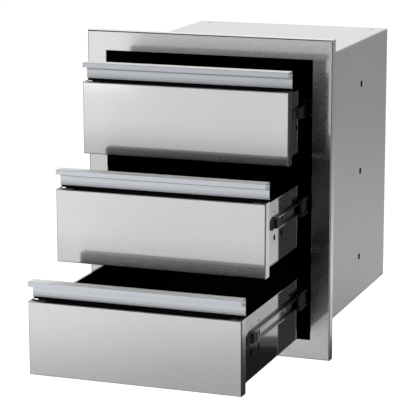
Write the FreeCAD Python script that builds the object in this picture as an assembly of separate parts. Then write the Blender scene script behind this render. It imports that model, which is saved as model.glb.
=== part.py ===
import FreeCAD, Part
import math
import os
from FreeCAD import Vector

# Built-in stainless drawer unit for an outdoor kitchen: a face frame on a sheet
# steel cabinet, and three drawers on telescopic ball slides, drawn out in steps.
# Millimetres. Everything is laid out from the bottom centre of the face frame's
# front face: +X right, +Y back into the cabinet, +Z up. ROW_ORIGIN moves it so
# that the origin is the middle of the opening, in the plane where the frame
# bears on the wall that the unit is built into.

# Face frame
FRAME_W = 487.0
FRAME_H = 609.6
BORDER = 38.1
FRAME_DEPTH = 19.0
FRAME_SHEET = 1.2
FRAME_BEND_R = 2.5
OPENING_EDGE_R = 1.0
OPENING_RETURN = 60.0
BEARING_LIP = 10.0
OPENING_W = FRAME_W - 2 * BORDER
ROW_ORIGIN = Vector(0, FRAME_DEPTH, FRAME_H / 2)

# Cabinet box behind the frame
SHEET = 1.0
BEND_R = 1.2
CABINET_HALF_W = OPENING_W / 2
CABINET_BOTTOM = 41.5
CABINET_TOP = 568.0
CABINET_FRONT = 50.0
CABINET_REAR = 530.0
CABINET_FLANGE = 15.0
SLOT_H = 12.0
SLOT_L = 13.0
SLOT_CORNER = 3.0
SLOT_FRONT_Y = 82.0
SLOT_PITCH = 254.0
ANCHOR_X = 178.0
ANCHOR_Y = 505.0
ANCHOR_LENGTH = 10.0
ANCHOR_WIDTH = 5.0
VENT_X = 112.0
VENT_R = 2.0

# Drawer bays: how far each drawer stands open, and each front's lower edge
DRAWERS = ("upper", "middle", "lower")
OPENED = {"upper": 127.0, "middle": 255.0, "lower": 382.5}
BAY_PITCH = 177.8
LOWEST_FRONT = 39.2

# Drawer front: a shallow pan with a full width finger pull above it
FRONT_W = 399.5
FRONT_H = 135.1
FRONT_DEPTH = 22.5
FRONT_BEND_R = 2.0
FRONT_TOP_HEM = 5.0
FRONT_FLANGE = 24.0
PULL_TOP = 170.6
PULL_LIP_H = 9.0
PULL_WALL = 1.8
PULL_FOOT = 138.6
PULL_LEG_BOTTOM = 112.0
PULL_LEG_GAP = 0.5
PULL_EDGE_R = 0.8

# Drawer tray, in heights above the front's lower edge
TRAY_BOTTOM = 11.0
TRAY_TOP = 127.5
TRAY_REAR = 505.0
TRAY_FLANGE = 12.0
TRAY_HEM_W = 6.0
TRAY_HEM_H = 8.0
TRAY_RELIEF = 14.0
HOLE_ROWS_Y = (75.0, 117.0)
SQUARE_Z = 59.0
SQUARE_SIZE = 9.5
SLIT_Z = 106.0
SLIT_L = 8.0
SLIT_H = 1.6

# Telescopic slide: widths from the drawer side, heights from its centre line
SLIDE_Z = 85.0
SLIDE_W = 12.7
SLIDE_SHEET = 1.2
SLIDE_BEND = 0.8
OUTER_FRONT, OUTER_REAR = 78.0, 518.0
OUTER_HALF_H = 22.8
OUTER_TIP = 3.0
MEMBER_FRONT, MEMBER_REAR = 81.0, 505.0
MEMBER_HALF_H = 16.7
MEMBER_TIP = 2.6
MEMBER_WEB = 8.7
MEMBER_BACK = 10.4
MEMBER_STEP = 11.2
INNER_FRONT, INNER_REAR = 80.0, 500.0
INNER_HALF_H = 10.4
INNER_TIP = 6.4
MEMBER_RATIO = {"upper": 0.5, "middle": 0.5, "lower": 0.36}

# Balls and cages
BALL_R = 2.38
BALL_SIDES = 6
BALL_RINGS = 4
BALLS_PER_ROW = 3
BALL_PITCH = 45.0
CAGE_START = 231.0
CAGE_LENGTH = 120.0
CAGE_SHEET = 0.45
CAGE_LIP = 0.4
OUTER_BALL_U = 7.0
OUTER_CAGE_WEB = 10.95
INNER_BALL_U = 4.0
INNER_CAGE_WEB = 6.95

# Bumper, mouth stop and screw slot
BUMPER_NOSE = (47.0, 55.5)
BUMPER_NOSE_W = (2.2, 4.4)
BUMPER_NOSE_HALF_H = (7.4, 9.3)
BUMPER_BASE_W = 1.0
BUMPER_RIB = 72.0
BUMPER_RIB_W = 6.4
BUMPER_CHAMFER = 1.4
BUMPER_TAIL = 96.0
STOP_LENGTH = 5.0
STOP_TIP = 2.8
STOP_BACK = 7.35
STOP_PLATE = 0.6
STOP_GAP = 0.2
KEYHOLE_Y = 116.5
KEYHOLE_W = 6.0
KEYHOLE_H = 10.0
KEYHOLE_CORNER = 1.8

TRAY_HALF_W = CABINET_HALF_W - SHEET - SLIDE_W
FRONT_WALL = FRONT_DEPTH + SHEET
OUTSIDE = 50.0
NEAR = 0.01


def block(x0, x1, y0, y1, z0, z1):
    """Rectangular block between two corners."""
    return Part.makeBox(x1 - x0, y1 - y0, z1 - z0, Vector(x0, y0, z0))


def rod(start, direction, radius, length):
    """Round bar from a point along a direction."""
    return Part.makeCylinder(radius, length, start, direction)


def at_y(y):
    """Maps a section drawn in (x, z) onto the plane at this depth."""
    return lambda p: Vector(p[0], y, p[1])


def at_x(x):
    """Maps a section drawn in (y, z) onto the plane at this x."""
    return lambda p: Vector(x, p[0], p[1])


def at_z(z):
    """Maps a section drawn in (x, y) onto the plane at this height."""
    return lambda p: Vector(p[0], p[1], z)


def unit(a, b):
    """Unit vector from one point of a section to the next."""
    dx, dy = b[0] - a[0], b[1] - a[1]
    size = math.hypot(dx, dy)
    return dx / size, dy / size


def offset_path(path, distance):
    """The path moved to its left by a distance, with its corners mitred."""
    moved = []
    for i, point in enumerate(path):
        before = unit(path[i - 1], point) if i else None
        after = unit(point, path[i + 1]) if i + 1 < len(path) else None
        before, after = before or after, after or before
        nx, ny = -(before[1] + after[1]), before[0] + after[0]
        scale = distance / (1 + before[0] * after[0] + before[1] * after[1])
        moved.append((point[0] + nx * scale, point[1] + ny * scale))
    return moved


def corner_cut(start, corner, beyond, radius):
    """Tangent points of a rounded corner, and the middle of its arc."""
    into, out = unit(start, corner), unit(corner, beyond)
    turn = math.acos(into[0] * out[0] + into[1] * out[1])
    back = radius * math.tan(turn / 2)
    first = (corner[0] - into[0] * back, corner[1] - into[1] * back)
    last = (corner[0] + out[0] * back, corner[1] + out[1] * back)
    bulge = radius * (1 / math.cos(turn / 2) - 1)
    inward = unit(corner, ((first[0] + last[0]) / 2, (first[1] + last[1]) / 2))
    middle = (corner[0] + inward[0] * bulge, corner[1] + inward[1] * bulge)
    return first, middle, last


def bent_path(path, radii, place, bevelled):
    """Edges along a path; a corner with a radius is an arc, or one bevel."""
    edges = []
    start = path[0]
    for corner, beyond, radius in zip(path[1:-1], path[2:], radii):
        if not radius:
            edges.append(Part.LineSegment(place(start), place(corner)).toShape())
            start = corner
            continue
        first, middle, last = corner_cut(start, corner, beyond, radius)
        edges.append(Part.LineSegment(place(start), place(first)).toShape())
        if bevelled:
            bend = Part.LineSegment(place(first), place(last))
        else:
            bend = Part.Arc(place(first), place(middle), place(last))
        edges.append(bend.toShape())
        start = last
    edges.append(Part.LineSegment(place(start), place(path[-1])).toShape())
    return edges


def bent_sheet(path, thickness, radius, place, sweep, bevelled=False):
    """Bent sheet: the path is one face, the metal lies to its left.

    The outside of each bend has the radius, or a bevel, and its inside is sharp.
    """
    other = offset_path(path, thickness)
    near, far = [], []
    for a, b, c in zip(path, path[1:], path[2:]):
        into, out = unit(a, b), unit(b, c)
        left_turn = into[0] * out[1] - into[1] * out[0] > 0
        near.append(radius if left_turn else 0)
        far.append(0 if left_turn else radius)
    edges = bent_path(path, near, place, bevelled)
    edges += bent_path(other, far, place, bevelled)
    edges.append(Part.LineSegment(place(path[0]), place(other[0])).toShape())
    edges.append(Part.LineSegment(place(path[-1]), place(other[-1])).toShape())
    wire = Part.Wire(Part.__sortEdges__(edges))
    return Part.Face(wire).extrude(sweep)


def same(a, b):
    """Whether two lengths are the same, apart from rounding."""
    return abs(a - b) < NEAR


def edges_where(shape, test):
    """The edges whose ends and middle all pass a test."""
    found = []
    for edge in shape.Edges:
        middle = edge.valueAt((edge.FirstParameter + edge.LastParameter) / 2)
        points = [v.Point for v in edge.Vertexes] + [middle]
        if all(test(p) for p in points):
            found.append(edge)
    return found


def rounded_slab(half_w, bottom, top, depth, bend_r):
    """Slab behind the plane y = 0 with a round front rim."""
    slab = block(-half_w, half_w, 0, depth, bottom, top)
    rim = edges_where(slab, lambda p: same(p.y, 0))
    return slab.makeFillet(bend_r, rim)


def ringed(rings):
    """Solid with flat faces between rings of points, closed at both ends."""
    outlines = [rings[0], rings[-1]]
    for low, high in zip(rings, rings[1:]):
        for j in range(len(low)):
            k = (j + 1) % len(low)
            outlines.append([low[j], low[k], high[k], high[j]])
    faces = [Part.Face(Part.makePolygon(points + points[:1])) for points in outlines]
    return Part.Solid(Part.makeShell(faces))


def slot_x(x, y, z, length, height, corner, through):
    """Cutter for a slot with bevelled corners through a wall that faces X."""
    cutter = block(x - through, x + through, y - length / 2, y + length / 2,
                   z - height / 2, z + height / 2)
    corners = edges_where(cutter, lambda p: same(abs(p.y - y), length / 2)
                          and same(abs(p.z - z), height / 2))
    return cutter.makeChamfer(corner, corners)


def mirrored(shape):
    """The same piece for the left side."""
    return shape.mirror(Vector(0, 0, 0), Vector(1, 0, 0))


def bay_bottom(drawer):
    """Height of a drawer front's lower edge."""
    return LOWEST_FRONT + (len(DRAWERS) - 1 - DRAWERS.index(drawer)) * BAY_PITCH


def save(name, shape, shift=Vector(0, 0, 0)):
    """Writes one named piece, moved to its place in the row's frame."""
    placed = shape.copy()
    placed.translate(shift - ROW_ORIGIN)
    if not placed.isValid():
        print("not valid:", name)
    placed.exportStep(os.path.join("parts", name + ".step"))


# Face frame and cabinet

def face_frame():
    """Pressed frame: front face, outer return with bearing lip, opening return."""
    half = FRAME_W / 2
    outer = rounded_slab(half, 0, FRAME_H, FRAME_DEPTH, FRAME_BEND_R)
    inside = block(-half + FRAME_SHEET, half - FRAME_SHEET, FRAME_SHEET,
                   FRAME_DEPTH - FRAME_SHEET, FRAME_SHEET, FRAME_H - FRAME_SHEET)
    hollow = block(-half + BEARING_LIP, half - BEARING_LIP, FRAME_SHEET, OUTSIDE,
                   BEARING_LIP, FRAME_H - BEARING_LIP)
    shell = outer.cut(inside).cut(hollow)
    half_w, low, high = OPENING_W / 2, BORDER, FRAME_H - BORDER
    sleeve = block(-half_w - FRAME_SHEET, half_w + FRAME_SHEET, FRAME_SHEET / 2,
                   OPENING_RETURN, low - FRAME_SHEET, high + FRAME_SHEET)
    window = block(-half_w, half_w, -OUTSIDE, OUTSIDE + OPENING_RETURN, low, high)
    frame = shell.fuse(sleeve).cut(window).removeSplitter()
    rim = edges_where(frame, lambda p: same(p.y, 0) and abs(p.x) < half_w + NEAR
                      and low - NEAR < p.z < high + NEAR)
    return frame.makeFillet(OPENING_EDGE_R, rim)


def side_slots(x, through):
    """Cutters for the two slots beside each slide."""
    cutters = []
    for drawer in DRAWERS:
        for y in (SLOT_FRONT_Y, SLOT_FRONT_Y + SLOT_PITCH):
            z = bay_bottom(drawer) + SLIDE_Z
            cutters.append(slot_x(x, y, z, SLOT_L, SLOT_H, SLOT_CORNER, through))
    return cutters


def cabinet_side():
    """Right wall: web with inward flanges at the top, the bottom and the rear."""
    x = CABINET_HALF_W
    low, high = CABINET_BOTTOM + SHEET, CABINET_TOP - SHEET
    inner = x - CABINET_FLANGE
    path = [(inner, low), (x, low), (x, high), (inner, high)]
    wall = bent_sheet(path, SHEET, BEND_R, at_y(CABINET_FRONT),
                      Vector(0, CABINET_REAR - SHEET - CABINET_FRONT, 0))
    relief = block(inner - 1, x - SHEET - BEND_R, CABINET_REAR - CABINET_FLANGE,
                   CABINET_REAR, low - 1, high + 1)
    rear = block(inner, x - SHEET / 2, CABINET_REAR - 2 * SHEET, CABINET_REAR - SHEET,
                 low + CABINET_FLANGE, high - CABINET_FLANGE)
    wall = wall.cut(relief).fuse(rear).removeSplitter()
    return wall.cut(side_slots(x, OUTSIDE))


def cabinet_top():
    """Top sheet with a front upstand, two anchor slots and two small holes."""
    gap = FRAME_H - BORDER - CABINET_TOP
    path = [(CABINET_FRONT, CABINET_TOP + gap), (CABINET_FRONT, CABINET_TOP - SHEET),
            (CABINET_REAR, CABINET_TOP - SHEET)]
    sheet = bent_sheet(path, SHEET, BEND_R, at_x(-CABINET_HALF_W),
                       Vector(2 * CABINET_HALF_W, 0, 0))
    for sign in (-1, 1):
        x = sign * ANCHOR_X
        flat = (ANCHOR_LENGTH - ANCHOR_WIDTH) / 2
        slot = block(x - flat, x + flat, ANCHOR_Y - ANCHOR_WIDTH / 2,
                     ANCHOR_Y + ANCHOR_WIDTH / 2, CABINET_TOP - OUTSIDE,
                     CABINET_TOP + OUTSIDE)
        for end in (x - flat, x + flat):
            start = Vector(end, ANCHOR_Y, CABINET_TOP - OUTSIDE)
            slot = slot.fuse(rod(start, Vector(0, 0, 1), ANCHOR_WIDTH / 2, 2 * OUTSIDE))
        vent = rod(Vector(sign * VENT_X, ANCHOR_Y, CABINET_TOP - OUTSIDE),
                   Vector(0, 0, 1), VENT_R, 2 * OUTSIDE)
        sheet = sheet.cut([slot, vent])
    return sheet


def cabinet_bottom():
    """Floor sheet with a front flange turned down to the opening."""
    path = [(CABINET_REAR, CABINET_BOTTOM + SHEET), (CABINET_FRONT, CABINET_BOTTOM + SHEET),
            (CABINET_FRONT, BORDER)]
    return bent_sheet(path, SHEET, BEND_R, at_x(-CABINET_HALF_W),
                      Vector(2 * CABINET_HALF_W, 0, 0))


def cabinet_back():
    """Rear sheet with a forward flange along its top and its bottom."""
    low, high = CABINET_BOTTOM + SHEET, CABINET_TOP - SHEET
    forward = CABINET_REAR - CABINET_FLANGE
    sheet = block(-CABINET_HALF_W, CABINET_HALF_W, CABINET_REAR - SHEET, CABINET_REAR,
                  low, high)
    inset = CABINET_HALF_W - CABINET_FLANGE - SHEET
    flanges = [block(-inset, inset, forward, CABINET_REAR, z, z + SHEET)
               for z in (low, high - SHEET)]
    return sheet.fuse(flanges).removeSplitter()


# Telescopic slide, right hand side, in the closed position

def slide_x(u):
    """X of a point u in front of the drawer side."""
    return TRAY_HALF_W + u


def channel(path, front, rear):
    """Roll formed channel along Y from a path in (u, height)."""
    section = [(slide_x(u), z) for u, z in path]
    return bent_sheet(section, SLIDE_SHEET, SLIDE_BEND, at_y(front),
                      Vector(0, rear - front, 0), True)


def outer_member():
    """Fixed channel, with a window behind each of the cabinet's slots."""
    z = OUTER_HALF_H
    path = [(OUTER_TIP, -z), (SLIDE_W, -z), (SLIDE_W, z), (OUTER_TIP, z)]
    member = channel(path, OUTER_FRONT, OUTER_REAR)
    windows = [slot_x(slide_x(SLIDE_W), y, 0, SLOT_L, SLOT_H, SLOT_CORNER,
                      2 * SLIDE_SHEET)
               for y in (SLOT_FRONT_Y, SLOT_FRONT_Y + SLOT_PITCH)]
    return member.cut(windows)


def intermediate_member():
    """Moving channel: its web is stepped in, which leaves raised bands at its edges."""
    z = MEMBER_HALF_H
    step = MEMBER_STEP
    path = [(MEMBER_TIP, -z), (MEMBER_BACK, -z), (MEMBER_BACK, -step),
            (MEMBER_WEB, -step + SLIDE_SHEET), (MEMBER_WEB, step - SLIDE_SHEET),
            (MEMBER_BACK, step), (MEMBER_BACK, z), (MEMBER_TIP, z)]
    return channel(path, MEMBER_FRONT, MEMBER_REAR)


def inner_member():
    """Channel on the drawer side, open outwards, with a screw slot near its front."""
    z = INNER_HALF_H
    path = [(INNER_TIP, z), (0, z), (0, -z), (INNER_TIP, -z)]
    member = channel(path, INNER_FRONT, INNER_REAR)
    return member.cut(slot_x(slide_x(0), KEYHOLE_Y, 0, KEYHOLE_W, KEYHOLE_H,
                             KEYHOLE_CORNER, 2 * SLIDE_SHEET))


def ball(centre):
    """Steel ball drawn with few flats: rings of points joined by flat faces."""
    rings = []
    for i in range(BALL_RINGS):
        lift = math.pi * ((i + 0.5) / BALL_RINGS - 0.5)
        turn = 2 * math.pi / BALL_SIDES
        rings.append([centre + Vector(math.cos(lift) * math.cos(j * turn),
                                      math.cos(lift) * math.sin(j * turn),
                                      math.sin(lift)) * BALL_R
                      for j in range(BALL_SIDES)])
    return ringed(rings)


def ball_cage(web_u, ball_u, ball_z):
    """Bent strip that carries a row of balls above and a row below."""
    reach = ball_z + CAGE_SHEET / 2
    tip = ball_u - BALL_R - CAGE_LIP
    back = web_u + CAGE_SHEET / 2
    web = block(slide_x(back - CAGE_SHEET), slide_x(back), CAGE_START,
                CAGE_START + CAGE_LENGTH, -reach, reach)
    legs = [block(slide_x(tip), slide_x(back), CAGE_START, CAGE_START + CAGE_LENGTH,
                  z - CAGE_SHEET / 2, z + CAGE_SHEET / 2) for z in (-ball_z, ball_z)]
    cage = web.fuse(legs)
    first = CAGE_START + (CAGE_LENGTH - (BALLS_PER_ROW - 1) * BALL_PITCH) / 2
    balls = [ball(Vector(slide_x(ball_u), first + i * BALL_PITCH, z))
             for i in range(BALLS_PER_ROW) for z in (-ball_z, ball_z)]
    return cage.fuse(balls).removeSplitter()


def outer_cage():
    """Cage between the fixed channel and the moving channel."""
    ball_z = (OUTER_HALF_H - SLIDE_SHEET + MEMBER_HALF_H) / 2
    return ball_cage(OUTER_CAGE_WEB, OUTER_BALL_U, ball_z)


def inner_cage():
    """Cage between the moving channel and the drawer's channel."""
    ball_z = (MEMBER_HALF_H - SLIDE_SHEET + INNER_HALF_H) / 2
    return ball_cage(INNER_CAGE_WEB, INNER_BALL_U, ball_z)


def bumper():
    """Plastic stop: a tapered nose, a groove, and a rib with a tail in the channel."""
    x0 = slide_x(0)
    nose = ringed([[Vector(x0, y, -z), Vector(x0 + w, y, -z), Vector(x0 + w, y, z),
                    Vector(x0, y, z)]
                   for y, w, z in zip(BUMPER_NOSE, BUMPER_NOSE_W, BUMPER_NOSE_HALF_H)])
    half = BUMPER_NOSE_HALF_H[1]
    base = block(x0, x0 + BUMPER_BASE_W, BUMPER_NOSE[1], BUMPER_RIB, -half, half)
    rib = block(x0, x0 + BUMPER_RIB_W, BUMPER_RIB, INNER_FRONT, -half, half)
    rib = rib.makeChamfer(BUMPER_CHAMFER, edges_where(
        rib, lambda p: same(p.x, x0 + BUMPER_RIB_W) and same(abs(p.z), half)))
    inside = INNER_HALF_H - SLIDE_SHEET
    tail = block(x0 + SLIDE_SHEET, x0 + INNER_TIP, INNER_FRONT, BUMPER_TAIL,
                 -inside, inside)
    return nose.fuse([base, rib, tail]).removeSplitter()


def mouth_stop():
    """Plastic stop in the mouth of the moving channel, above and below the drawer's."""
    rear = MEMBER_FRONT + STOP_LENGTH
    reach = MEMBER_HALF_H - SLIDE_SHEET - STOP_GAP
    near = INNER_HALF_H + 4 * STOP_GAP
    plate = block(slide_x(STOP_BACK - STOP_PLATE), slide_x(STOP_BACK), MEMBER_FRONT,
                  rear, -reach, reach)
    pads = [block(slide_x(STOP_TIP), slide_x(STOP_BACK), MEMBER_FRONT, rear, z0, z1)
            for z0, z1 in ((near, reach), (-reach, -near))]
    return plate.fuse(pads).removeSplitter()


# Drawer pieces, in the drawer's own frame: front face at y = 0, lower edge at z = 0

def front_panel():
    """Pan shaped front, open at the back, with a narrow hem along its top."""
    half = FRONT_W / 2
    outer = rounded_slab(half, 0, FRONT_H, FRONT_DEPTH, FRONT_BEND_R)
    inside = block(-half + SHEET, half - SHEET, SHEET, FRONT_DEPTH - SHEET, SHEET,
                   FRONT_H - SHEET)
    back_window = block(-half + FRONT_FLANGE, half - FRONT_FLANGE, SHEET, OUTSIDE,
                        FRONT_FLANGE, FRONT_H)
    top_window = block(-half + SHEET, half - SHEET, FRONT_TOP_HEM, OUTSIDE,
                       FRONT_H - 2 * SHEET, FRONT_H + SHEET)
    return outer.cut(inside).cut([back_window, top_window])


def pull():
    """Finger pull: lip, top plate, back wall, and a foot hooked over the front wall."""
    t = PULL_WALL
    path = [(t, PULL_TOP - PULL_LIP_H), (t, PULL_TOP - t),
            (FRONT_DEPTH - t, PULL_TOP - t), (FRONT_DEPTH - t, PULL_FOOT),
            (FRONT_WALL, PULL_FOOT), (FRONT_WALL, PULL_LEG_BOTTOM)]
    grip = bent_sheet(path, t, PULL_EDGE_R, at_x(-FRONT_W / 2), Vector(FRONT_W, 0, 0))
    inset = TRAY_HALF_W - 2 * SHEET - PULL_LEG_GAP
    trim = [block(min(sign * inset, sign * FRONT_W), max(sign * inset, sign * FRONT_W),
                  FRONT_WALL, OUTSIDE, PULL_LEG_BOTTOM - 1, PULL_FOOT) for sign in (-1, 1)]
    return grip.cut(trim)


def front_wall():
    """Inner front: a sheet between the sides, flanged back against them."""
    half = TRAY_HALF_W - SHEET
    low = TRAY_BOTTOM + SHEET
    back = FRONT_DEPTH + TRAY_FLANGE
    path = [(-half, back), (-half, FRONT_DEPTH), (half, FRONT_DEPTH), (half, back)]
    sheet = bent_sheet(path, SHEET, BEND_R, at_z(low), Vector(0, 0, PULL_FOOT - low))
    trim = [block(sign * half - TRAY_FLANGE, sign * half + TRAY_FLANGE, FRONT_WALL,
                  OUTSIDE, TRAY_TOP - TRAY_HEM_H, PULL_FOOT + 1) for sign in (-1, 1)]
    return sheet.cut(trim)


def tray_side():
    """Right side: foot flange, hemmed top, two slits and two square holes."""
    x = TRAY_HALF_W
    low = TRAY_BOTTOM + SHEET
    path = [(x - TRAY_FLANGE, low), (x, low), (x, TRAY_TOP), (x - TRAY_HEM_W, TRAY_TOP),
            (x - TRAY_HEM_W, TRAY_TOP - TRAY_HEM_H)]
    length = TRAY_REAR - FRONT_DEPTH
    side = bent_sheet(path, SHEET, BEND_R, at_y(FRONT_DEPTH), Vector(0, length, 0))
    flanges = [block(x - 2 * TRAY_FLANGE, x - SHEET, y, y + TRAY_RELIEF, low - 1,
                     TRAY_TOP + 1) for y in (FRONT_DEPTH, TRAY_REAR - TRAY_RELIEF)]
    cutters = []
    for y in HOLE_ROWS_Y:
        for z, w, h in ((SQUARE_Z, SQUARE_SIZE, SQUARE_SIZE), (SLIT_Z, SLIT_L, SLIT_H)):
            cutters.append(block(x - 2 * SHEET, x + SHEET, y - w / 2, y + w / 2,
                                 z - h / 2, z + h / 2))
    return side.cut(flanges + cutters)


def tray_bottom():
    """Flat floor that the sides' foot flanges stand on."""
    return block(-TRAY_HALF_W, TRAY_HALF_W, FRONT_DEPTH, TRAY_REAR, TRAY_BOTTOM,
                 TRAY_BOTTOM + SHEET)


def back_wall():
    """Rear of the tray: a sheet between the sides, flanged forward against them."""
    half = TRAY_HALF_W - SHEET
    low = TRAY_BOTTOM + SHEET
    fore = TRAY_REAR - TRAY_FLANGE
    path = [(half, fore), (half, TRAY_REAR), (-half, TRAY_REAR), (-half, fore)]
    sheet = bent_sheet(path, SHEET, BEND_R, at_z(low), Vector(0, 0, TRAY_TOP - low))
    inset = half - TRAY_RELIEF
    hem = block(-inset, inset, TRAY_REAR - TRAY_HEM_W, TRAY_REAR - SHEET / 2,
                TRAY_TOP - SHEET, TRAY_TOP)
    return sheet.fuse(hem).removeSplitter()


def both_sides(piece):
    """A piece and its mirror image, in one group."""
    return Part.makeCompound([piece, mirrored(piece)])


def save_cabinet():
    """The face frame and the sheets behind it."""
    wall = cabinet_side()
    save("face_frame", face_frame())
    save("cabinet_right_side", wall)
    save("cabinet_left_side", mirrored(wall))
    save("cabinet_top", cabinet_top())
    save("cabinet_bottom", cabinet_bottom())
    save("cabinet_back", cabinet_back())


def save_drawers():
    """The drawers' own pieces, each drawer at the place where it stands open."""
    panel, grip, wall, rear = front_panel(), pull(), front_wall(), back_wall()
    side, floor = tray_side(), tray_bottom()
    for drawer in DRAWERS:
        base = Vector(0, -OPENED[drawer], bay_bottom(drawer))
        save(drawer + "_drawer_front_panel", panel, base)
        save(drawer + "_drawer_pull", grip, base)
        save(drawer + "_drawer_front_wall", wall, base)
        save(drawer + "_drawer_right_side", side, base)
        save(drawer + "_drawer_left_side", mirrored(side), base)
        save(drawer + "_drawer_bottom", floor, base)
        save(drawer + "_drawer_back_wall", rear, base)


def save_slides():
    """The slides' members, each drawn out by its own share of the drawer's travel."""
    outer, member, inner = outer_member(), intermediate_member(), inner_member()
    outer_cages, inner_cages = both_sides(outer_cage()), both_sides(inner_cage())
    bumpers, stops = both_sides(bumper()), both_sides(mouth_stop())
    for drawer in DRAWERS:
        ratio = MEMBER_RATIO[drawer]
        height = bay_bottom(drawer) + SLIDE_Z
        for share, pieces in (
                (0, {"right_slide_outer": outer, "left_slide_outer": mirrored(outer)}),
                (ratio, {"right_slide_intermediate": member,
                         "left_slide_intermediate": mirrored(member),
                         "slide_mouth_stops": stops}),
                (1, {"right_slide_inner": inner, "left_slide_inner": mirrored(inner),
                     "slide_bumpers": bumpers}),
                (ratio / 2, {"slide_outer_ball_cages": outer_cages}),
                ((1 + ratio) / 2, {"slide_inner_ball_cages": inner_cages})):
            for name, piece in pieces.items():
                save(drawer + "_" + name, piece, Vector(0, -share * OPENED[drawer], height))


def main():
    os.makedirs("parts", exist_ok=True)
    save_cabinet()
    save_drawers()
    save_slides()


if __name__ == "__main__":
    main()
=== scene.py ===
import math

import bmesh
import bpy
from mathutils import Matrix, Vector


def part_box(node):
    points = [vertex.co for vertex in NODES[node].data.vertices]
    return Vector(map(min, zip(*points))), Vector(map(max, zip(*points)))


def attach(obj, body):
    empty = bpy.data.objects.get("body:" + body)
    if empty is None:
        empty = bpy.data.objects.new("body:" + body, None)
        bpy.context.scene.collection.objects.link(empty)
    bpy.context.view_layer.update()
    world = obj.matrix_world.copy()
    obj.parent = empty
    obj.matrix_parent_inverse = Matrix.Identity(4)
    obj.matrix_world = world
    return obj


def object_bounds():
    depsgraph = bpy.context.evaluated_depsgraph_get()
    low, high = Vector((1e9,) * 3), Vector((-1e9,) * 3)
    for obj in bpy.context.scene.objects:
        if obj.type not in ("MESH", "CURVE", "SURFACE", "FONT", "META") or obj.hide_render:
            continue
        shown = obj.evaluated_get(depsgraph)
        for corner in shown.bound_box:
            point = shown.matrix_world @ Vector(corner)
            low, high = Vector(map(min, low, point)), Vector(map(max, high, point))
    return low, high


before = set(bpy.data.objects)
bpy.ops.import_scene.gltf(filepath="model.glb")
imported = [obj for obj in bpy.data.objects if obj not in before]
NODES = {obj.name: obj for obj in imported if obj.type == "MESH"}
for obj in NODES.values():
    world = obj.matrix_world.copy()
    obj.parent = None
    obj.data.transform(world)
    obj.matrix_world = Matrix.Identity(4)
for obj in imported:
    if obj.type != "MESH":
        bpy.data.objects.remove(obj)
bpy.context.view_layer.update()
CAD_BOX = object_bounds()
DRAWERS = ("upper", "middle", "lower")
SIDES = ("right", "left")
MM = 0.001
UP = Vector((0, 0, 1))

# Camera, fitted to the straight edges in the photograph: it stands to the right, looking down a little
CAMERA_AT = Vector((1.260, -3.482, 0.775))
CAMERA_TURN = math.radians(19.99)
CAMERA_TILT = math.radians(12.26)
CAMERA_ROLL = math.radians(-0.10)
CAMERA_LENS, CAMERA_SENSOR = 171.6, 36.0
CAMERA_NEAR, CAMERA_FAR = 0.05, 100.0

# The floor lies this far below the unit, which hangs in its wall. A little light of its own, for the
# camera only, lifts it to the backdrop's white
FLOOR_DROP = 0.45
FLOOR_HALF = 30.0
FLOOR_COLOR = (0.86, 0.86, 0.86, 1)
FLOOR_LIFT = 0.24

# Brightness of the world for the camera and for matt surfaces
WHITE = (1, 1, 1, 1)
BACKDROP, DAYLIGHT = 1.0, 0.9

# Lamps, all at one distance: name, azimuth, elevation, diameter and power
LAMPS = (("key", -40, 50, 2.0, 60.0), ("fill", 50, 30, 2.0, 25.0))
LAMP_DISTANCE = 3.5

# Studio seen in the metal, in zones, each laid over the ones before it. A zone has its azimuths (0 is
# towards the side that the fronts face, 90 is right, and under -180 goes on past the rear), its
# elevations, the soft edges of both, in degrees, and its brightness
STUDIO_BASE = 0.32
STUDIO_ZONES = (
    (-250, -100, -2, 78, 30, 10, 1.08),
    (-88, 8, -80, 0, 14, 2.5, 1.38),
    (-22.1, 30, -80, 0, 5, 2.5, 1.42),
    (-60, -22.1, -8.7, 0, 0.5, 0.8, 3.0),
    (-88, 8, -80, -16.2, 14, 2.4, 0.36),
    (-88, 8, -90, -50, 14, 20, 0.3),
    (-100, 108, 1, 62, 14, 2, 0.07),
    (10, 108, -60, 4, 10, 6, 0.06),
    (64, 118, -60, 4, 12, 6, 0.4),
    (104, 178, -70, 0, 10, 6, 0.34),
    (114, 178, -70, -12.4, 10, 6.4, 0.9),
    (114, 178, -70, -14.6, 8, 1.0, 0.62),
    (118, 178, -26, -15.95, 8, 0.06, 0.1),
    (118, 178, -26, -16.25, 8, 0.06, 0.02),
    (-140, -92, -80, 60, 10, 8, 0.45),
)

# Finishes: colour, lowest and highest roughness, and how far the grain's tone varies
CABINET_STEEL = ((0.68, 0.68, 0.675), (0.26, 0.36), 0.02)
FRAME_STEEL = ((0.57, 0.572, 0.55), (0.24, 0.28), 0.02)
FRONT_STEEL = ((0.65, 0.65, 0.646), (0.26, 0.30), 0.02)
TRAY_STEEL = ((0.47, 0.475, 0.47), (0.02, 0.05), 0.015)
WALL_STEEL = ((0.8, 0.8, 0.8), (0.28, 0.32), 0.04)
CAGE_STEEL = ((0.3, 0.3, 0.3), (0.25, 0.35), 0.04)
# Zinc of the outer and intermediate slide members, painted near black as the shade inside the cabinet
SHADE_DARKENED_ZINC = ((0.07, 0.073, 0.073), (0.12, 0.22), 0.03)
BRIGHT_ZINC = ((0.52, 0.54, 0.54), (0.05, 0.12), 0.03)
SCREW_ZINC = ((0.58, 0.59, 0.57), (0.2, 0.32), 0.04)
CHROME = ((0.7, 0.7, 0.71), (0.06, 0.12), 0.04)
ALUMINIUM = ((0.48, 0.495, 0.53), (0.28, 0.36), 0.02)

# Grain of the metals, as the noise's scale along each axis: long and fine where it is brushed
ALONG_X = (90.0, 3100.0, 3100.0)
ALONG_Y = (3100.0, 90.0, 3100.0)
ALONG_Z = (3100.0, 3100.0, 90.0)
SCREW_GRAIN = (700.0, 700.0, 700.0)
BALL_GRAIN = (500.0, 500.0, 500.0)
GRAIN_STRENGTH, GRAIN_DEPTH = 0.1, 0.003 * MM

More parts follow.
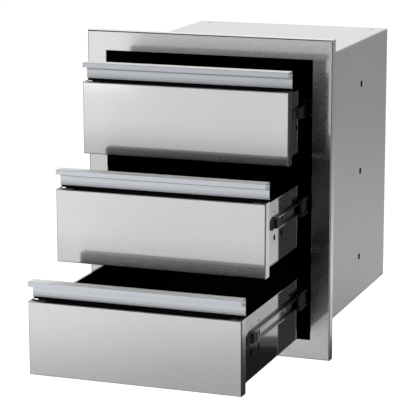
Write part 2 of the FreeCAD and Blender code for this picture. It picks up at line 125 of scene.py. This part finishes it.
# A finer grain varies the roughness, and large faint clouds vary the tone. A noise reaches its lowest
# and highest effect at these values
FINER = 2.3
CLOUD_SCALE, CLOUD_TONE = 9.0, 0.012
NOISE_SPAN, FINE_SPAN = (0.3, 0.7), (0.36, 0.64)

# Cosine to an axis at which the painted light and shade of the faces that look along it start and are
# full
FACING_SPAN = (0.3, 0.6)

# Keeps the direction of the stretched gloss from vanishing on faces that look along X
NUDGE = (0, 0, 0.01)

# Clear coats, which make the sharp part of the brushed gloss: refractive index and roughness
FRONT_COAT = (2.7, 0.05)
FRAME_COAT = (1.95, 0.05)

# Matt black painted into the metals' black boxes, as the shade of interiors and holes
SHADE_BLACK_SCALE, SHADE_BLACK_TONES = 700.0, (0.003, 0.006)
SHADE_BLACK_ROUGH = 0.9
BLACK_SPECULAR = 0.04

# Black plastic
PLASTIC_SCALE, PLASTIC_TONES, PLASTIC_ROUGH = 900.0, (0.008, 0.014), (0.45, 0.55)
PLASTIC_SPECULAR = 0.2
PLASTIC_STRENGTH, PLASTIC_DEPTH = 0.3, 0.05 * MM

# Spot welds on the back: their lines' distance from the middle, pitch, radii, shade and relief
WELD_X, WELD_PITCH = 198 * MM, 62 * MM
WELD_INNER, WELD_OUTER = 1.6 * MM, 2.8 * MM
WELD_SHADE, WELD_STRENGTH, WELD_DEPTH = 0.82, 0.6, 0.2 * MM

# Cabinet: its front edge, its inside and the spots round its holes are painted black as shade, and its
# upward and rightward faces are painted a little darker, as shade. Depths are behind the wall's face,
# and the slots of its sides are level with the slides
SKIN = 0.5 * MM
CABINET_EDGE = 1.5 * MM
SLOT_YS = (63 * MM, 317 * MM)
SLOT_HALF_L, SLOT_HALF_H = 6.7 * MM, 5.6 * MM
HOLE_DEPTH = 2 * MM
TOP_HOLES_Y = 486 * MM
TOP_HOLES = [(sign * x * MM, half_x * MM, half_y * MM)
             for x, half_x, half_y in ((178, 5.1, 2.8), (112, 2.1, 2.1)) for sign in (-1, 1)]
# Painted shade on the cabinet's upward and rightward faces: axis, sign, factor and roughness
CABINET_TOP_PAINTED_SHADE = (2, 1.0, 0.89, 0.3)
CABINET_SIDE_PAINTED_SHADE = (0, 1.0, 0.88, 0.3)

# Face frame: its border, the sleeve behind it, painted black as shade, and painted dark lines of shade
# at its left and top edges
BORDER = 38.1 * MM
SLEEVE_Y = 1.5 * MM
RIM_LEFT, RIM_LEFT_SHADE = 2.2 * MM, 0.1
RIM_TOP, RIM_TOP_SHADE = (-2.0 * MM, -0.5 * MM), 0.2

# Sideways faces of the frame and the fronts: painted shade as a factor of brightness, and roughness of
# each
RETURN_PAINTED_SHADE = 0.86
FRAME_RETURN_ROUGH, FRONT_RETURN_ROUGH = 0.06, 0.08

# Drawer fronts, in from their edges: a painted dark bend of shade with a painted highlight beside it at
# both sides, a painted dark bend at the foot, and a painted shade that each drawer's front fades to
# towards its foot
BENDS = {"right": 0.9 * MM, "left": 1.8 * MM}
BEND_DEPTH, BEND_SHADE = 4.5 * MM, 0.05
GLINT_END, GLINT_DEPTH, PAINTED_GLINT = 2.6 * MM, 0.5 * MM, 1.12
FOOT_BEND, FOOT_BEND_SHADE = 1.2 * MM, 0.3
FADE_H = 75 * MM
FOOT_PAINTED_SHADES = {"upper": 0.48, "middle": 0.72, "lower": 0.95}

# Pulls: the painted shadow behind the lip, from below to above its lower edge, the wall's foot painted
# darker as shade, up to heights above the leg's end, the top's painted highlight on every drawer, and
# the edges' rounding
LIP_H, LIP_DEPTH = 9 * MM, 4 * MM
LIP_SHADOW, LIP_SHADE = (-6.2 * MM, 0.2 * MM), 0.55
WALL_SHADES = ((36 * MM, 0.86), (31 * MM, 0.74))
PULL_TOP_HIGHLIGHT, PULL_TOP_ROUGH = 2.05, 0.62
PULL_EDGE_R = 0.8 * MM

# Each pull's painted light at the rear, as a factor of brightness, and roughness there, and its painted
# brightness as a whole. The upper pull's rear is painted bright, and those of the others are painted
# dark, as the shade of the drawer above
PULL_PAINTED_LEVELS = {"upper": (2.4, 0.9, 0.82), "middle": (0.04, 0.3, 1.04), "lower": (0.04, 0.3, 1.2)}

# Front wall: painted black as shade, all but its rear face. Slides: their upward and downward faces are
# painted dark, as shade
WALL_SKIN = 0.3 * MM
SLIDE_FACE_SHADE, SLIDE_FACE_ROUGH = 0.04, 0.3

# Places in a drawer, from here on in millimetres: depths are behind the front's face, heights above
# its lower edge, and widths from the middle. The tray's sides have a square hole and a slit in each
# row, given by height and half sizes, and the keyhole of the slides has its depth before those
TRAY_REAR = 505
HOLE_ROWS = (75, 117)
HOLES = ((59, 4.9, 4.9), (106, 4.1, 0.95))
SLIDE_Z = 85
KEYHOLE = (116.5, SLIDE_Z, 3.4, 5.4)
SIDE_FACE, MEMBER_FACE, WALL_FACE = 191.7, 192.9, 23.5

# Screws in the front wall, the pull's leg and the slide members, and rivets at the tray's rear
SCREW_HEAD = ((3.3, 0), (3.5, 0.25), (3.5, 0.8), (3.1, 1.3), (2.4, 1.6))
SCREW_CROSS = ((1.75, 0.42, 1.65), (1.2, 0.3, 0.55))
SCREW_SIDES = 24
WALL_SCREWS_X, WALL_SCREWS_Z = (-150, -50, 50, 150), (28, 92)
LEG_SCREWS_X, LEG_SCREW_Z = (-130, 0, 130), 125
MEMBER_SCREWS_Y = (262, 440)
RIVET_HEAD = ((2.5, 0), (2.5, 0.2), (2.1, 0.6), (1.3, 0.9), (0.5, 1.0))
RIVET_SIDES = 20
RIVET_INSET, RIVETS_Z = 6, (30, 118)

# Balls: each row's place along its cage, and for each cage its kind, the balls' distance from the
# tray's side, and their height above and below the slide's middle
BALL_R, BALL_SIDES, BALL_RINGS = 2.38, 16, 9
BALL_START, BALL_STEP, BALL_COUNT = 15, 15, 7
COLLAR = ((2.45, -0.6), (2.78, -0.45), (2.78, 0.45), (2.45, 0.6))
CAGES = (("outer", 7.0, 19.15), ("inner", 4.0, 12.95))

# End tabs of the front wall: the bent outline of the right one, how far it laps behind the wall's
# edge and lies back from its face, and how far it reaches below the front's top and above the wall
TAB_OUTLINE = ((0, 0), (8.3, 0), (8.65, 0.15), (8.8, 0.5), (8.8, 5.0), (7.8, 5.0), (7.8, 1.0), (0, 1.0))
TAB_LAP, TAB_BACK = 0.3, 0.2
TAB_BELOW, TAB_ABOVE = 0.5, 0.8

# Angles from which edges are rounded, and from which they stay sharp in the small pieces
ROUNDED_FROM, SHARP_FROM = math.radians(40), math.radians(50)


class Tree:
    """Short calls for building a node tree. Any input is a number, a colour or a socket."""

    def __init__(self, tree):
        self.tree = tree

    def add(self, kind, inputs=None, **settings):
        made = self.tree.nodes.new(kind)
        for name, value in settings.items():
            setattr(made, name, value)
        for key, value in (inputs or {}).items():
            self.put(made.inputs[key], value)
        return made

    def put(self, socket, value):
        if isinstance(value, bpy.types.NodeSocket):
            self.tree.links.new(value, socket)
        else:
            socket.default_value = value

    def math(self, operation, a, b=0.0):
        return self.add("ShaderNodeMath", {0: a, 1: b}, operation=operation).outputs[0]

    def vector(self, operation, inputs):
        return self.add("ShaderNodeVectorMath", inputs, operation=operation).outputs[0]

    def scaled(self, color, factor):
        return self.vector("SCALE", {0: color, "Scale": factor})

    def grey(self, value):
        return self.add("ShaderNodeCombineXYZ", {0: value, 1: value, 2: value}).outputs[0]

    def mix(self, factor, a, b):
        return self.add("ShaderNodeMix", {0: factor, 6: a, 7: b}, data_type="RGBA").outputs[2]

    def mix_value(self, factor, a, b):
        return self.add("ShaderNodeMix", {0: factor, 2: a, 3: b}, data_type="FLOAT").outputs[0]

    def steps(self, value, low, high, to_low=0.0, to_high=1.0):
        """Value eased from to_low at low to to_high at high."""
        made = self.add("ShaderNodeMapRange", {0: value, 1: low, 2: high, 3: to_low, 4: to_high},
                        interpolation_type="SMOOTHSTEP")
        return made.outputs[0]

    def spread(self, noise, low, high):
        """Noise spread out between low and high."""
        return self.steps(noise, *NOISE_SPAN, low, high)

    def band(self, value, low, high, soft):
        """1 between low and high, 0 outside, each edge eased over soft."""
        half = soft / 2
        up = self.steps(value, low - half, low + half)
        down = self.steps(value, high - half, high + half)
        return self.math("SUBTRACT", up, down)

    def split(self, vector):
        """The three numbers of a vector."""
        return self.add("ShaderNodeSeparateXYZ", {0: vector}).outputs

    def normal(self):
        """The way that the surface faces."""
        return self.add("ShaderNodeNewGeometry").outputs["Normal"]

    def stretched(self, vector, scale):
        return self.add("ShaderNodeMapping", {"Vector": vector, "Scale": scale}).outputs[0]

    def noise(self, vector, scale, detail=2.0, roughness=0.5):
        made = self.add("ShaderNodeTexNoise", {"Vector": vector, "Scale": scale, "Detail": detail,
                                               "Roughness": roughness})
        return made.outputs[0]

    def bump(self, height, strength, distance, below=None):
        """Normals of a relief, laid over the relief below it."""
        made = self.add("ShaderNodeBump", {"Height": height, "Strength": strength, "Distance": distance})
        if below:
            self.put(made.inputs["Normal"], below)
        return made.outputs[0]


def linked(name, data):
    """A new object in the scene."""
    made = bpy.data.objects.new(name, data)
    bpy.context.scene.collection.objects.link(made)
    return made


def direction(azimuth, elevation):
    """Unit vector towards an azimuth and elevation, in degrees."""
    a, e = math.radians(azimuth), math.radians(elevation)
    return Vector((math.sin(a) * math.cos(e), -math.cos(a) * math.cos(e), math.sin(e)))


def studio_world():
    """White to the camera; in the metal a soft studio with light and dark zones."""
    world = bpy.data.worlds.new("studio")
    bpy.context.scene.world = world
    world.use_nodes = True
    world.node_tree.nodes.clear()
    t = Tree(world.node_tree)
    x, y, z = t.split(t.add("ShaderNodeTexCoord").outputs["Generated"])
    azimuth = t.math("DEGREES", t.math("ARCTAN2", x, t.math("MULTIPLY", y, -1.0)))
    behind = t.math("SUBTRACT", azimuth, 360.0)
    elevation = t.math("DEGREES", t.math("ARCSINE", z))
    level = STUDIO_BASE
    for left, right, low, high, soft_a, soft_e, value in STUDIO_ZONES:
        across = azimuth
        if left < -180:
            across = t.mix_value(t.math("GREATER_THAN", azimuth, 0.0), azimuth, behind)
        mask = t.math("MULTIPLY", t.band(across, left, right, soft_a),
                      t.band(elevation, low, high, soft_e))
        level = t.mix_value(mask, level, value)
    path = t.add("ShaderNodeLightPath")
    studio = t.add("ShaderNodeBackground", {"Color": WHITE, "Strength": level})
    plain = t.add("ShaderNodeBackground", {"Color": WHITE, "Strength": DAYLIGHT})
    white = t.add("ShaderNodeBackground", {"Color": WHITE, "Strength": BACKDROP})
    gloss = t.add("ShaderNodeMixShader", {0: path.outputs["Is Glossy Ray"], 1: plain.outputs[0],
                                          2: studio.outputs[0]})
    seen = t.add("ShaderNodeMixShader", {0: path.outputs["Is Camera Ray"], 1: gloss.outputs[0],
                                         2: white.outputs[0]})
    t.add("ShaderNodeOutputWorld", {0: seen.outputs[0]})


def floor():
    """Plain pale floor, lifted to white for the camera, with the unit's soft shadow left on it."""
    low = CAD_BOX[0].z - FLOOR_DROP
    mesh = bpy.data.meshes.new("floor")
    corners = [(x * FLOOR_HALF, y * FLOOR_HALF, low) for x, y in ((-1, -1), (1, -1), (1, 1), (-1, 1))]
    mesh.from_pydata(corners, [], [(0, 1, 2, 3)])
    made = linked("floor", mesh)
    made.visible_glossy = False
    material = bpy.data.materials.new("floor")
    material.use_nodes = True
    material.node_tree.nodes.clear()
    t = Tree(material.node_tree)
    camera_ray = t.add("ShaderNodeLightPath").outputs["Is Camera Ray"]
    diffuse = t.add("ShaderNodeBsdfDiffuse", {0: FLOOR_COLOR})
    lift = t.add("ShaderNodeEmission", {0: WHITE, 1: FLOOR_LIFT})
    none = t.add("ShaderNodeEmission", {0: WHITE, 1: 0.0})
    added = t.add("ShaderNodeMixShader", {0: camera_ray, 1: none.outputs[0], 2: lift.outputs[0]})
    total = t.add("ShaderNodeAddShader", {0: diffuse.outputs[0], 1: added.outputs[0]})
    t.add("ShaderNodeOutputMaterial", {0: total.outputs[0]})
    mesh.materials.append(material)


def camera():
    """The photograph's view."""
    data = bpy.data.cameras.new("camera")
    data.lens, data.sensor_width = CAMERA_LENS, CAMERA_SENSOR
    data.clip_start, data.clip_end = CAMERA_NEAR, CAMERA_FAR
    made = linked("camera", data)
    bpy.context.scene.camera = made
    turn = Matrix.Rotation(CAMERA_TURN, 4, "Z")
    tilt = Matrix.Rotation(math.pi / 2 - CAMERA_TILT, 4, "X")
    roll = Matrix.Rotation(CAMERA_ROLL, 4, "Z")
    made.matrix_world = Matrix.Translation(CAMERA_AT) @ turn @ tilt @ roll


def lamps():
    """Soft lamps for the matt surfaces; the metal takes its light from the studio."""
    for name, azimuth, elevation, size, power in LAMPS:
        data = bpy.data.lights.new(name, "AREA")
        data.shape, data.size, data.energy = "DISK", size, power
        made = linked(name, data)
        away = direction(azimuth, elevation)
        made.location = away * LAMP_DISTANCE
        made.rotation_euler = away.to_track_quat("Z", "Y").to_euler()
        made.visible_glossy = False


def new_material(name):
    """An empty material with its tree, its shader and its object coordinates."""
    material = bpy.data.materials.new(name)
    material.use_nodes = True
    material.node_tree.nodes.clear()
    t = Tree(material.node_tree)
    shader = t.add("ShaderNodeBsdfPrincipled")
    t.add("ShaderNodeOutputMaterial", {0: shader.outputs[0]})
    return material, t, shader, t.add("ShaderNodeTexCoord").outputs["Object"]


def region(x=(None, None), y=(None, None), z=(None, None)):
    """Box in object coordinates, from its limits along each axis. None leaves a side open."""
    return x, y, z


def inside_box(t, place, box):
    """1 inside a box, 0 outside it."""
    mask = 1.0
    for spot, (low, high) in zip(place, box):
        if low is not None:
            mask = t.math("MULTIPLY", mask, t.math("GREATER_THAN", spot, low))
        if high is not None:
            mask = t.math("MULTIPLY", mask, t.math("LESS_THAN", spot, high))
    return mask


def inside_any(t, place, boxes):
    """1 inside any of the boxes."""
    mask = 0.0
    for box in boxes:
        mask = t.math("MAXIMUM", mask, inside_box(t, place, box))
    return mask


def both_ways(axis, factor, rough):
    """The facings of steel, painted factors of brightness, for the faces that look either way along an
    axis.
    """
    return (axis, 1.0, factor, rough), (axis, -1.0, factor, rough)


def spot_welds(t, place):
    """0 in the spot welds that hold the back to the side flanges, 1 beside them."""
    off_line = t.math("SUBTRACT", t.math("ABSOLUTE", place[0]), WELD_X)
    off_row = t.math("SUBTRACT", t.math("PINGPONG", place[2], WELD_PITCH), WELD_PITCH / 2)
    away = t.math("SQRT", t.math("ADD", t.math("MULTIPLY", off_line, off_line),
                                 t.math("MULTIPLY", off_row, off_row)))
    return t.steps(away, WELD_INNER, WELD_OUTER)


def steel(name, finish, grain_scale, black=(), coat=None, shades=(), facings=(), fade=None,
          welded=False):
    """Metal in a finish, with a fine grain.

    black lists boxes painted matt black, as shade. coat gives index and roughness of a clear coat, over
    a gloss stretched across the grain. shades lists boxes with a factor of painted light and shade, and
    facings lists axis, sign, factor of painted light and shade and roughness for faces that look that
    way. fade gives two heights and the factor of painted shade at the lower one. welded adds the back's
    spot welds.
    """
    color, rough, tone_depth = finish
    material, t, shader, base = new_material(name)
    place = t.split(base)
    grain = t.noise(t.stretched(base, grain_scale), 1.0, 3.0, 0.65)
    fine = t.noise(t.stretched(base, tuple(FINER * v for v in grain_scale)), 1.0, 2.0, 0.6)
    cloud = t.noise(base, CLOUD_SCALE)
    tone = t.math("ADD", t.spread(grain, 1 - tone_depth, 1 + tone_depth),
                  t.spread(cloud, -CLOUD_TONE, CLOUD_TONE))
    roughness = t.steps(fine, *FINE_SPAN, *rough)
    # Painted light and shade, as factors of brightness from boxes, from the way faces look and from the
    # fade
    factors = [t.mix_value(inside_box(t, place, box), 1.0, factor) for box, factor in shades]
    for axis, sign, factor, face_rough in facings:
        facing = t.steps(t.math("MULTIPLY", t.split(t.normal())[axis], sign), *FACING_SPAN)
        factors.append(t.mix_value(facing, 1.0, factor))
        roughness = t.mix_value(facing, roughness, face_rough)
    if fade:
        low, high, factor = fade
        factors.append(t.steps(place[2], low, high, factor, 1.0))
    bump = t.bump(grain, GRAIN_STRENGTH, GRAIN_DEPTH)
    if welded:
        beside = spot_welds(t, place)
        factors.append(t.mix_value(beside, WELD_SHADE, 1.0))
        bump = t.bump(beside, WELD_STRENGTH, WELD_DEPTH, bump)
    bright = t.scaled(color, tone)
    for factor in factors:
        bright = t.scaled(bright, factor)
    # Painted shade: matt black in the black boxes
    if black:
        mask = inside_any(t, place, black)
        speckle = t.spread(t.noise(base, SHADE_BLACK_SCALE), *SHADE_BLACK_TONES)
        bright = t.mix(mask, bright, t.grey(speckle))
        roughness = t.mix_value(mask, roughness, SHADE_BLACK_ROUGH)
        t.put(shader.inputs["Metallic"], t.math("SUBTRACT", 1.0, mask))
    else:
        shader.inputs["Metallic"].default_value = 1.0
    t.put(shader.inputs["Base Color"], bright)
    t.put(shader.inputs["Roughness"], roughness)
    shader.inputs["Specular IOR Level"].default_value = BLACK_SPECULAR
    if coat:
        shader.inputs["Coat Weight"].default_value = 1.0
        shader.inputs["Coat IOR"].default_value, shader.inputs["Coat Roughness"].default_value = coat
        shader.inputs["Anisotropic"].default_value = 1.0
        across = t.vector("CROSS_PRODUCT", {0: (1, 0, 0), 1: t.normal()})
        t.put(shader.inputs["Tangent"], t.vector("ADD", {0: across, 1: NUDGE}))
    t.put(shader.inputs["Normal"], bump)
    return material


def plastic(name):
    """Moulded black plastic."""
    material, t, shader, base = new_material(name)
    mottle = t.noise(base, PLASTIC_SCALE)
    t.put(shader.inputs["Base Color"], t.grey(t.spread(mottle, *PLASTIC_TONES)))
    t.put(shader.inputs["Roughness"], t.spread(mottle, *PLASTIC_ROUGH))
    shader.inputs["Specular IOR Level"].default_value = PLASTIC_SPECULAR
    t.put(shader.inputs["Normal"], t.bump(mottle, PLASTIC_STRENGTH, PLASTIC_DEPTH))
    return material


def dress(node, material):
    """Gives a CAD node its material in every slot."""
    for slot in NODES[node].material_slots:
        slot.material = material


def soften(node, width):
    """Rounds a CAD node's sharp edges a little, so that they catch the light."""
    made = NODES[node].modifiers.new("edges", "BEVEL")
    made.width, made.segments = width, 3
    made.limit_method, made.angle_limit = "ANGLE", ROUNDED_FROM
    made.harden_normals = True


def datum(drawer):
    """Depth of a drawer front's face and height of its lower edge, in millimetres."""
    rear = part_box(drawer + "_drawer_right_side")[1].y
    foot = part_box(drawer + "_drawer_front_panel")[0].z
    return rear / MM - TRAY_REAR, foot / MM


def cabinet_holes():
    """Boxes round the slots beside the slides and the holes in the top, painted black as shade."""
    right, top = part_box("cabinet_right_side")[1].x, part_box("cabinet_top")[1].z
    holes = []
    for drawer in DRAWERS:
        z = (datum(drawer)[1] + SLIDE_Z) * MM
        holes += [region((right - HOLE_DEPTH, right + MM), (y - SLOT_HALF_L, y + SLOT_HALF_L),
                         (z - SLOT_HALF_H, z + SLOT_HALF_H)) for y in SLOT_YS]
    holes += [region((x - half_x, x + half_x), (TOP_HOLES_Y - half_y, TOP_HOLES_Y + half_y),
                     (top - HOLE_DEPTH, None)) for x, half_x, half_y in TOP_HOLES]
    return holes


def dress_cabinet():
    """The sheets behind the frame, painted black as shade inside, at their front edge and round their
    holes.
    """
    left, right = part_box("cabinet_left_side")[0].x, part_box("cabinet_right_side")[1].x
    back_low, back_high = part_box("cabinet_back")
    inside = region((left + SKIN, right - SKIN), (None, back_high.y - SKIN),
                    (back_low.z - SKIN, back_high.z + SKIN))
    edge = region(y=(None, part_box("cabinet_bottom")[0].y + CABINET_EDGE))
    # Painted shade: matt black inside, at the front edge and round the holes
    black = (inside, edge, *cabinet_holes())
    facings = (CABINET_TOP_PAINTED_SHADE, CABINET_SIDE_PAINTED_SHADE)
    box_steel = steel("box_steel", CABINET_STEEL, ALONG_Y, black, facings=facings)
    back_steel = steel("back_steel", CABINET_STEEL, ALONG_Z, black, facings=facings, welded=True)
    for node in ("right_side", "left_side", "top", "bottom"):
        dress("cabinet_" + node, box_steel)
    dress("cabinet_back", back_steel)


def dress_frame():
    """The face frame: its sleeve painted black as shade, and painted dark lines at its left and top
    edges.
    """
    low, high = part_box("face_frame")
    inset = BORDER - SKIN
    # Painted shade: the sleeve behind the opening is matt black
    sleeve = region((low.x + inset, high.x - inset), (low.y + SLEEVE_Y, None),
                    (low.z + inset, high.z - inset))
    # Painted shade: dark lines at the left and top edges
    rim_painted_shade = ((region((None, low.x + RIM_LEFT)), RIM_LEFT_SHADE),
           (region(y=(None, low.y + MM), z=[high.z + edge for edge in RIM_TOP]), RIM_TOP_SHADE))
    # Painted shade on the sideways faces
    dress("face_frame", steel("frame_steel", FRAME_STEEL, ALONG_X, (sleeve,), FRAME_COAT, rim_painted_shade,
                              both_ways(0, RETURN_PAINTED_SHADE, FRAME_RETURN_ROUGH)))


def pull_metal(drawer):
    """Anodised aluminium: a painted highlight on top, painted shadow behind the lip and painted shade at
    the wall's foot.
    """
    low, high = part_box(drawer + "_drawer_pull")
    wall = (low.y + LIP_DEPTH, None)
    # Painted shadow behind the lip, and painted shade at the wall's foot
    shadow = [high.z - LIP_H + edge for edge in LIP_SHADOW]
    shades = [(region(y=wall, z=shadow), LIP_SHADE)]
    shades += [(region(y=wall, z=(None, low.z + top)), shade) for top, shade in WALL_SHADES]
    # Painted light and shade: each drawer's pull has its own brightness at the rear and as a whole
    rear, rear_rough, level = PULL_PAINTED_LEVELS[drawer]
    color, *rest = ALUMINIUM
    finish = (tuple(level * v for v in color), *rest)
    # Painted light and shade: the rear's and the top's factors of brightness, by the way the faces look
    return steel(drawer + "_pull_aluminium", finish, ALONG_X, shades=shades,
                 facings=((1, 1.0, rear, rear_rough), (2, 1.0, PULL_TOP_HIGHLIGHT / level, PULL_TOP_ROUGH)))


def front_metal(drawer):
    """Brushed front: painted highlights along its right and left edges, with painted dark bends beside
    them.
    """
    low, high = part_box(drawer + "_drawer_front_panel")
    bend_y, glint_y = (None, low.y + BEND_DEPTH), (None, low.y + GLINT_DEPTH)
    shades = []
    # Painted highlights and painted dark bends of shade along both sides, and a painted dark bend at the
    # foot
    for edge, inward, bend in ((high.x, -1, BENDS["right"]), (low.x, 1, BENDS["left"])):
        outer, middle, inner = (edge + inward * x for x in (-MM, bend, GLINT_END))
        shades += [(region(sorted((middle, inner)), glint_y), PAINTED_GLINT),
                   (region(sorted((outer, middle)), bend_y), BEND_SHADE)]
    shades.append((region(y=bend_y, z=(None, low.z + FOOT_BEND)), FOOT_BEND_SHADE))
    # Painted shade on the sideways faces, and painted shade fading towards the foot
    return steel(drawer + "_front_steel", FRONT_STEEL, ALONG_X, (), FRONT_COAT, shades,
                 both_ways(0, RETURN_PAINTED_SHADE, FRONT_RETURN_ROUGH),
                 (low.z, low.z + FADE_H, FOOT_PAINTED_SHADES[drawer]))


def side_holes(drawer):
    """Boxes round the holes of the tray's sides, and last the keyhole of its slide members, painted
    black as shade.
    """
    face, foot = datum(drawer)
    spots = [(y, z, half_y, half_z) for y in HOLE_ROWS for z, half_y, half_z in HOLES] + [KEYHOLE]
    return [region(y=((face + y - half_y) * MM, (face + y + half_y) * MM),
                   z=((foot + z - half_z) * MM, (foot + z + half_z) * MM))
            for y, z, half_y, half_z in spots]


def dress_tray(drawer):
    """The sheets of a drawer behind its front, painted black as shade inside and round their holes."""
    low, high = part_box(drawer + "_drawer_bottom")
    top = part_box(drawer + "_drawer_right_side")[1].z
    inside = region((low.x + SKIN, high.x - SKIN), (None, high.y - SKIN), (low.z + SKIN, top - SKIN))
    tray = steel(drawer + "_tray_steel", TRAY_STEEL, ALONG_Y, (inside, *side_holes(drawer)))
    for piece in ("right_side", "left_side", "bottom", "back_wall"):
        dress(drawer + "_drawer_" + piece, tray)
    # The front wall is painted black as shade, all but its rear face
    before = region(y=(None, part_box(drawer + "_drawer_front_wall")[1].y - WALL_SKIN))
    dress(drawer + "_drawer_front_wall", steel(drawer + "_front_wall", WALL_STEEL, ALONG_X, (before,)))


def dress_drawers():
    """The drawers and their slides."""
    # Outer and intermediate members: zinc painted near black, as the shade inside the cabinet
    shade_darkened_zinc = steel("shade_darkened_zinc_steel", SHADE_DARKENED_ZINC, ALONG_Y)
    cage = steel("cage_steel", CAGE_STEEL, ALONG_Y)
    black = plastic("black_plastic")
    for drawer in DRAWERS:
        dress_tray(drawer)
        dress(drawer + "_drawer_front_panel", front_metal(drawer))
        dress(drawer + "_drawer_pull", pull_metal(drawer))
        soften(drawer + "_drawer_pull", PULL_EDGE_R)
        # Inner members: the keyhole painted black as shade, and the upward and downward faces painted
        # dark as shade
        zinc = steel(drawer + "_zinc_steel", BRIGHT_ZINC, ALONG_Y, side_holes(drawer)[-1:],
                     facings=both_ways(2, SLIDE_FACE_SHADE, SLIDE_FACE_ROUGH))
        for side in SIDES:
            for member, made in (("outer", shade_darkened_zinc), ("intermediate", shade_darkened_zinc), ("inner", zinc)):
                dress(f"{drawer}_{side}_slide_{member}", made)
        for piece in ("bumpers", "mouth_stops"):
            dress(f"{drawer}_slide_{piece}", black)
        for kind in ("outer", "inner"):
            dress(f"{drawer}_slide_{kind}_ball_cages", cage)


def circle(radius, height, count):
    """Ring of points round Z."""
    turns = [2 * math.pi * i / count for i in range(count)]
    return [Vector((radius * math.cos(a), radius * math.sin(a), height)) for a in turns]


def turned(profile, count):
    """Rings of a turned shape, from its profile's radii and heights."""
    return [circle(radius, height, count) for radius, height in profile]


def cross(length, width, height):
    """Ring of 24 points round a plus sign, from half its length and half the width of its arms."""
    middle = (length + width) / 2
    quarter = ((length, 0), (length, width), (middle, width), (width, width), (width, middle),
               (width, length))
    return [Vector((c * x - s * y, s * x + c * y, height))
            for c, s in ((1, 0), (0, 1), (-1, 0), (0, -1)) for x, y in quarter]


def screw_rings():
    """Pan head with a cross recess, standing on z = 0."""
    return turned(SCREW_HEAD, SCREW_SIDES) + [cross(*size) for size in SCREW_CROSS]


def ball_rings():
    """Round ball about the origin."""
    tilts = [math.pi * (i / (BALL_RINGS + 1) - 0.5) for i in range(1, BALL_RINGS + 1)]
    return turned([(BALL_R * math.cos(a), BALL_R * math.sin(a)) for a in tilts], BALL_SIDES)


def pieces(name, body, material, copies):
    """One object on a body, from copies of ring stacks, each with its place (mm) and its direction."""
    bm = bmesh.new()
    for rings, place, away in copies:
        turn = UP.rotation_difference(Vector(away)).to_matrix().to_4x4()
        move = Matrix.Scale(MM, 4) @ Matrix.Translation(place) @ turn
        rows = [[bm.verts.new(move @ p) for p in ring] for ring in rings]
        for a, b in zip(rows, rows[1:]):
            for i in range(len(a)):
                bm.faces.new((a[i - 1], a[i], b[i], b[i - 1]))
        bm.faces.new(rows[0][::-1])
        bm.faces.new(rows[-1])
    mesh = bpy.data.meshes.new(name)
    bm.to_mesh(mesh)
    bm.free()
    made = linked(name, mesh)
    mesh.shade_smooth()
    mesh.set_sharp_from_angle(angle=SHARP_FROM)
    mesh.materials.append(material)
    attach(made, body)


def screws(drawer, material):
    """Screws in the front wall, in the pull's leg and through the slide members."""
    body = drawer + "_drawer"
    face, foot = datum(drawer)
    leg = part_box(body + "_pull")[1].y / MM
    rings = screw_rings()
    copies = [(rings, Vector((x, face + WALL_FACE, foot + z)), (0, 1, 0))
              for x in WALL_SCREWS_X for z in WALL_SCREWS_Z]
    copies += [(rings, Vector((x, leg, foot + LEG_SCREW_Z)), (0, 1, 0)) for x in LEG_SCREWS_X]
    copies += [(rings, Vector((sign * MEMBER_FACE, face + y, foot + SLIDE_Z)), (sign, 0, 0))
               for sign in (1, -1) for y in MEMBER_SCREWS_Y]
    pieces(body + "_screws", body, material, copies)


def wall_tabs(drawer):
    """Bent tabs that close the gap under the pull at both ends of the front wall."""
    body = drawer + "_drawer"
    wall = body + "_front_wall"
    low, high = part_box(wall)
    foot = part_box(body + "_front_panel")[1].z / MM - TAB_BELOW
    heights = (0, high.z / MM + TAB_ABOVE - foot)
    right = [[Vector((x, y, z)) for x, y in TAB_OUTLINE] for z in heights]
    left = [[Vector((-p.x, p.y, p.z)) for p in ring[::-1]] for ring in right]
    y = low.y / MM + TAB_BACK
    # The tabs take the front wall's material, painted black as shade in front of its rear face
    pieces(body + "_wall_tabs", body, NODES[wall].material_slots[0].material,
           [(right, Vector((high.x / MM - TAB_LAP, y, foot)), (0, 0, 1)),
            (left, Vector((low.x / MM + TAB_LAP, y, foot)), (0, 0, 1))])


def rivets(drawer, material):
    """Domed rivets at the rear corners of the tray."""
    body = drawer + "_drawer"
    face, foot = datum(drawer)
    rings = turned(RIVET_HEAD, RIVET_SIDES)
    copies = [(rings, Vector((sign * SIDE_FACE, face + TRAY_REAR - RIVET_INSET, foot + z)), (sign, 0, 0))
              for sign in (1, -1) for z in RIVETS_Z]
    pieces(body + "_rivets", body, material, copies)


def balls(drawer, material):
    """Round balls, each in its pressed collar, along the ball cages."""
    shapes = (ball_rings(), turned(COLLAR, BALL_SIDES))
    for kind, u, ball_z in CAGES:
        low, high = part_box(f"{drawer}_slide_{kind}_ball_cages")
        first, middle = low.y / MM + BALL_START, (low.z + high.z) / 2 / MM
        spots = [Vector((sign * (SIDE_FACE + u), first + i * BALL_STEP, middle + row * ball_z))
                 for sign in (1, -1) for row in (1, -1) for i in range(BALL_COUNT)]
        copies = [(rings, spot, (0, 0, 1)) for spot in spots for rings in shapes]
        pieces(f"{drawer}_{kind}_cage_balls", f"{drawer}_{kind}_cages", material, copies)


def hardware():
    """The small pieces of every drawer."""
    plated = steel("screw_zinc", SCREW_ZINC, SCREW_GRAIN)
    chrome = steel("ball_chrome", CHROME, BALL_GRAIN)
    for drawer in DRAWERS:
        screws(drawer, plated)
        wall_tabs(drawer)
        rivets(drawer, plated)
        balls(drawer, chrome)


def write_size():
    """Brings the view layer up to date."""
    bpy.context.view_layer.update()


bpy.context.scene.view_settings.view_transform = "Standard"
studio_world()
floor()
camera()
lamps()
dress_cabinet()
dress_frame()
dress_drawers()
hardware()
write_size()
